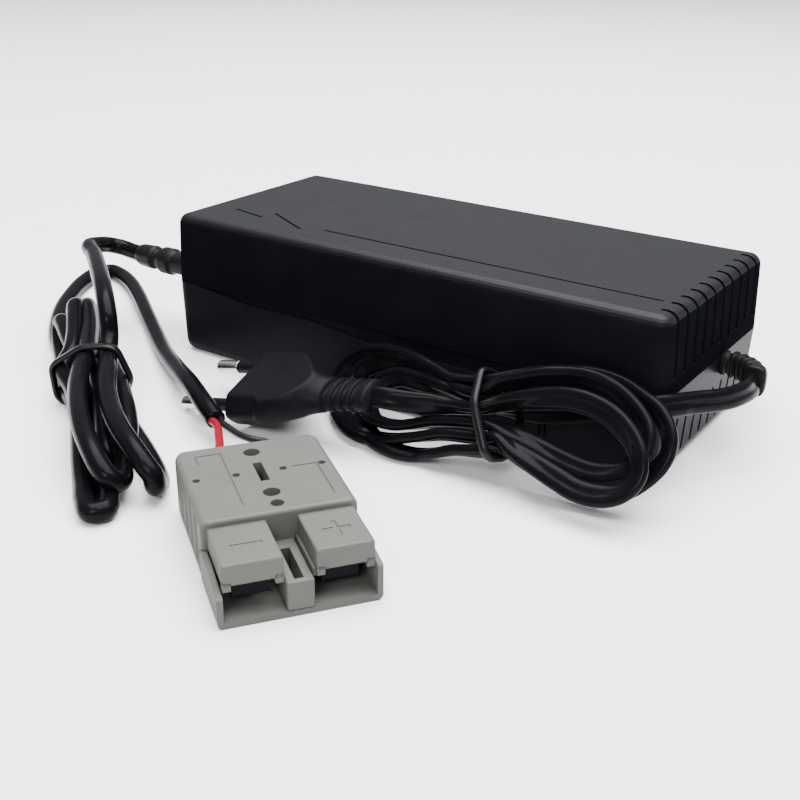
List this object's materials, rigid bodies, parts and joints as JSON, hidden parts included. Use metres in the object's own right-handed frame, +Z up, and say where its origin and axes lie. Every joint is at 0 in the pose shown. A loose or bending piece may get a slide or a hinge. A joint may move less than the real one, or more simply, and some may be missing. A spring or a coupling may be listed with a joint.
{
  "type": "battery charger",
  "caption": "Mains battery charger: vented moulded case, flat mains lead in a hank with a flat plug, round output lead in a hank ending in wires and a grey power connector.",
  "frame": {"origin": "middle of the case's underside", "axes": "+X along the case towards the vented end with the mains lead, +Y towards the case's back, +Z up"},
  "size_m": [0.2652, 0.1843, 0.0464],
  "materials": {
    "top_shell": "satin textured",
    "bottom_shell": "satin",
    "case_screws": "zinc plated",
    "circuit_board": "solder mask",
    "board_screws": "zinc plated",
    "transformer_core": "ferrite",
    "transformer_winding": "polyester tape",
    "choke_core": "ferrite",
    "choke_windings": "enamelled copper",
    "bulk_capacitor": "sleeved",
    "filter_capacitor": "moulded",
    "output_capacitors": "sleeved",
    "primary_heatsink": "mill finish",
    "output_heatsink": "mill finish",
    "switch_transistor": "moulded",
    "output_rectifier": "moulded",
    "bridge_rectifier": "moulded",
    "fuse_glass": "clear",
    "fuse_caps": "nickel plated",
    "inductor_core": "painted powder core",
    "inductor_winding": "enamelled copper",
    "status_lamp": "diffused",
    "dc_strain_relief": "satin",
    "ac_strain_relief": "satin",
    "dc_cord_in": "satin jacket",
    "dc_coil": "satin jacket",
    "dc_cord_out": "satin jacket",
    "dc_tie": "flat tie",
    "red_wire": "insulation",
    "black_wire": "insulation",
    "connector_housing": "moulded",
    "contact_red": "silver plated",
    "contact_black": "silver plated",
    "spring_red": "spring steel",
    "spring_black": "spring steel",
    "ac_cord_in": "satin jacket",
    "ac_coil": "satin jacket",
    "ac_cord_out": "satin jacket",
    "ac_tie": "smooth",
    "plug_body": "moulded",
    "plug_pin_near": "nickel plated",
    "plug_pin_far": "nickel plated",
    "sleeve_near": "smooth",
    "sleeve_far": "smooth"
  },
  "bodies": {
    "root": {"top_shell": "top_shell", "bottom_shell": "bottom_shell", "case_screws": "case_screws", "circuit_board": "circuit_board", "board_screws": "board_screws", "transformer_core": "transformer_core", "transformer_winding": "transformer_winding", "choke_core": "choke_core", "choke_windings": "choke_windings", "bulk_capacitor": "bulk_capacitor", "filter_capacitor": "filter_capacitor", "output_capacitors": "output_capacitors", "primary_heatsink": "primary_heatsink", "output_heatsink": "output_heatsink", "switch_transistor": "switch_transistor", "output_rectifier": "output_rectifier", "bridge_rectifier": "bridge_rectifier", "fuse_glass": "fuse_glass", "fuse_caps": "fuse_caps", "inductor_core": "inductor_core", "inductor_winding": "inductor_winding", "status_lamp": "status_lamp", "dc_strain_relief": "dc_strain_relief", "ac_strain_relief": "ac_strain_relief", "dc_cord_in": "dc_cord_in", "dc_coil": "dc_coil", "dc_cord_out": "dc_cord_out", "dc_tie": "dc_tie", "red_wire": "red_wire", "black_wire": "black_wire", "connector_housing": "connector_housing", "contact_red": "contact_red", "contact_black": "contact_black", "spring_red": "spring_red", "spring_black": "spring_black", "ac_cord_in": "ac_cord_in", "ac_coil": "ac_coil", "ac_cord_out": "ac_cord_out", "ac_tie": "ac_tie", "plug_body": "plug_body", "plug_pin_near": "plug_pin_near", "plug_pin_far": "plug_pin_far", "sleeve_near": "sleeve_near", "sleeve_far": "sleeve_far"}
  },
  "joints": []
}
